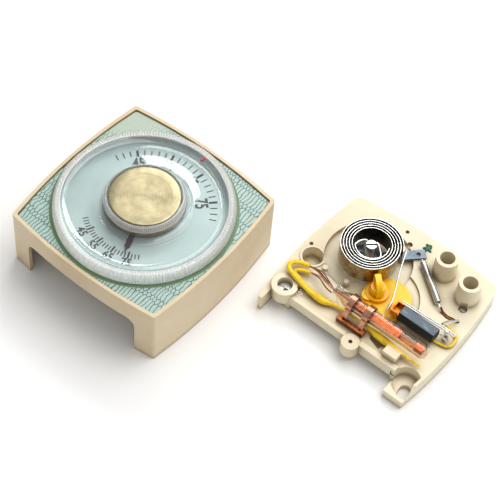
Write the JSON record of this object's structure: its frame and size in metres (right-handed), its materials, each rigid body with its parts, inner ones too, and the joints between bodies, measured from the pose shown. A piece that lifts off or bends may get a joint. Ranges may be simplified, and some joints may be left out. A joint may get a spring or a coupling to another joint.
{
  "type": "wall thermostat",
  "caption": "Square bimetal wall thermostat opened up: bowed cover with clear set-point dial and thermometer, beside its base with coil, cam, magnet and glass contact tube.",
  "frame": {"origin": "centre of the bounding box on the bench plane, which is also the wall plane of both halves", "axes": "+X from the cover towards the base, +Y the thermostat's up on the wall, +Z out of the wall towards the room"},
  "size_m": [0.1888, 0.1342, 0.0431],
  "materials": {
    "cream_plastic": "moulded ABS, aged cream",
    "pale_cream_plastic": "moulded phenolic-look plastic, pale cream",
    "patterned_face": "printed plastic with a fine reptile-scale pattern",
    "silver_scale": "silver-blue printed scale",
    "clear_plastic": "clear moulded acrylic",
    "glass": "drawn glass tube",
    "gold_disc": "spun gold-anodised aluminium",
    "brass": "turned brass",
    "copper": "copper strip",
    "bright_steel": "bright steel",
    "grey_steel": "blued grey steel",
    "spring_steel": "spring steel wire",
    "bimetal": "bimetal strip, bright edges",
    "pointer_paint": "dark maroon paint",
    "yellow_plastic": "moulded yellow plastic",
    "yellow_insulation": "yellow wire insulation",
    "magnet": "black cast magnet"
  },
  "bodies": {
    "base": {"base_plate": "pale_cream_plastic", "wall_screw": "bright_steel", "plate_screw_left": "bright_steel", "plate_screw_right": "bright_steel", "arm_spring": "spring_steel", "spring_anchor": "copper", "hinge_pin": "bright_steel", "hinge_fork_upper": "bright_steel", "hinge_fork_lower": "bright_steel", "glass_tube": "glass", "fixed_contact_blade": "copper", "moving_contact_blade": "copper", "contact_armature": "copper", "contact_support": "bright_steel", "tube_band_left": "copper", "tube_band_right": "copper", "tube_bracket": "copper", "lead_outer": "yellow_insulation", "lead_inner": "yellow_insulation", "lead_right": "yellow_insulation", "bare_lead_upper": "copper", "bare_lead_lower": "copper", "bridge_wire": "bright_steel"},
    "cam": {"set_point_cam": "yellow_plastic"},
    "arbor": {"arbor_post": "bright_steel", "arbor_arm": "grey_steel", "coil_clip": "spring_steel", "arbor_lock_ring": "bright_steel"},
    "coil": {"bimetal_coil": "bimetal", "tail_wire": "bright_steel"},
    "magnet_lever": {"magnet": "magnet", "magnet_carrier": "copper", "hinge_wire": "bright_steel"},
    "cover": {"cover_shell": "cream_plastic", "face_plate": "patterned_face", "scale_plate": "silver_scale", "dial_bush": "brass", "thermometer_cup": "brass", "thermometer_coil": "bimetal", "thermometer_coil_pin": "bright_steel"},
    "dial": {"clear_dial": "clear_plastic", "dial_disc": "gold_disc", "dial_shaft": "bright_steel", "dial_retaining_ring": "spring_steel"},
    "pointer": {"thermometer_pointer": "pointer_paint"}
  },
  "joints": [
    {"name": "cover_carry", "type": "slide", "parent": "base", "child": "cover", "axis": [0.6741, 0.3065, 0.6721], "range_m": [0, 0.1487]},
    {"name": "dial_turn", "type": "hinge", "parent": "cover", "child": "dial", "pos_m": [-0.0492, -0.02185, 0.036], "axis": [0, 0, 1], "range_deg": [-55, 71]},
    {"name": "thermometer_swing", "type": "hinge", "parent": "cover", "child": "pointer", "pos_m": [-0.0492, -0.02185, 0.0336], "axis": [0, 0, 1], "range_deg": [-60, 14.6]},
    {"name": "cam_turn", "type": "hinge", "parent": "base", "child": "cam", "pos_m": [0.0511, 0.02375, 0.01], "axis": [0, 0, 1], "range_deg": [-55, 71]},
    {"name": "arbor_turn", "type": "hinge", "parent": "base", "child": "arbor", "pos_m": [0.0363, 0.03755, 0.01], "axis": [0, 0, 1], "range_deg": [-8, 10.2], "deforming": ["arm_spring"]},
    {"name": "coil_turn", "type": "hinge", "parent": "base", "child": "coil", "pos_m": [0.0363, 0.03755, 0.016], "axis": [0, 0, 1], "range_deg": [-2, 2]},
    {"name": "magnet_swing", "type": "hinge", "parent": "base", "child": "magnet_lever", "pos_m": [0.0885, 0.02535, 0.015], "axis": [0, 0, 1], "range_deg": [-2, 2]}
  ],
  "couplings": [
    {"joint": "arbor_turn", "follows": "cam_turn", "ratio": 0.14},
    {"joint": "magnet_swing", "follows": "coil_turn", "ratio": -0.94}
  ]
}
